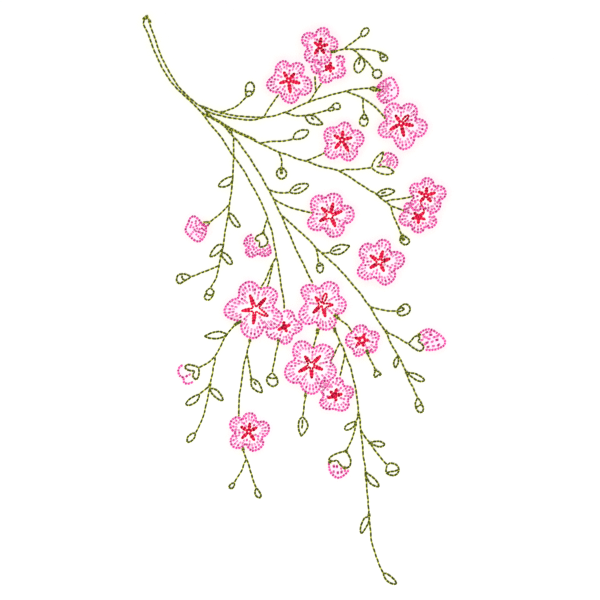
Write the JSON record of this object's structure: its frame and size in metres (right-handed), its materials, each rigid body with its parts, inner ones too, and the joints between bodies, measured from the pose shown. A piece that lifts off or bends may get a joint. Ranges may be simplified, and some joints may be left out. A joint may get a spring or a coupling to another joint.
{
  "type": "embroidered cloth panel",
  "caption": "Square white hemmed cloth, embroidered in fine line stitch with a hanging spray of pink cherry blossom on green stems with leaves and buds.",
  "frame": {"origin": "middle of the cloth's underside, on the surface it lies on", "axes": "+Z out of the embroidered face, +Y towards the top of the drawing, where the main stem's cut end is, +X to the drawing's right"},
  "size_m": [0.3, 0.3, 0.0016],
  "materials": {
    "cloth": "plain-woven white cotton, matt",
    "white_thread": "white sewing thread",
    "green_thread": "olive green embroidery thread with a soft lustre",
    "pink_thread": "magenta pink embroidery thread with a soft lustre",
    "red_thread": "crimson embroidery thread with a soft lustre"
  },
  "bodies": {
    "root": {"blossom_01_petals": "pink_thread", "blossom_01_star": "red_thread", "blossom_02_petals": "pink_thread", "blossom_02_star": "red_thread", "blossom_03_petals": "pink_thread", "blossom_03_star": "red_thread", "blossom_04_petals": "pink_thread", "blossom_04_star": "red_thread", "blossom_05_petals": "pink_thread", "blossom_05_star": "red_thread", "blossom_06_petals": "pink_thread", "blossom_06_star": "red_thread", "blossom_07_petals": "pink_thread", "blossom_07_star": "red_thread", "blossom_08_petals": "pink_thread", "blossom_08_star": "red_thread", "blossom_09_petals": "pink_thread", "blossom_09_star": "red_thread", "blossom_10_petals": "pink_thread", "blossom_10_star": "red_thread", "blossom_11_petals": "pink_thread", "blossom_11_star": "red_thread", "blossom_12_petals": "pink_thread", "blossom_12_star": "red_thread", "blossom_13_petals": "pink_thread", "blossom_13_star": "red_thread", "blossom_14_petals": "pink_thread", "blossom_14_star": "red_thread", "blossom_15_petals": "pink_thread", "blossom_15_star": "red_thread", "blossom_16_petals": "pink_thread", "blossom_16_star": "red_thread", "bud_far_right": "pink_thread", "bud_in_sepals": "pink_thread", "bud_left": "pink_thread", "bud_low": "pink_thread", "bud_lower_left": "pink_thread", "bud_right_of_top": "pink_thread", "green_bud_stem": "green_thread", "green_forked_stem": "green_thread", "green_leaf_stem": "green_thread", "green_left_sprig": "green_thread", "green_long_stem": "green_thread", "green_middle_left_stem": "green_thread", "green_middle_stem": "green_thread", "green_right_stem": "green_thread", "green_short_stem": "green_thread", "green_spray": "green_thread", "green_top_sprig": "green_thread", "ground_cloth": "cloth", "half_open_left": "pink_thread", "hem_seam": "white_thread"}
  },
  "joints": []
}
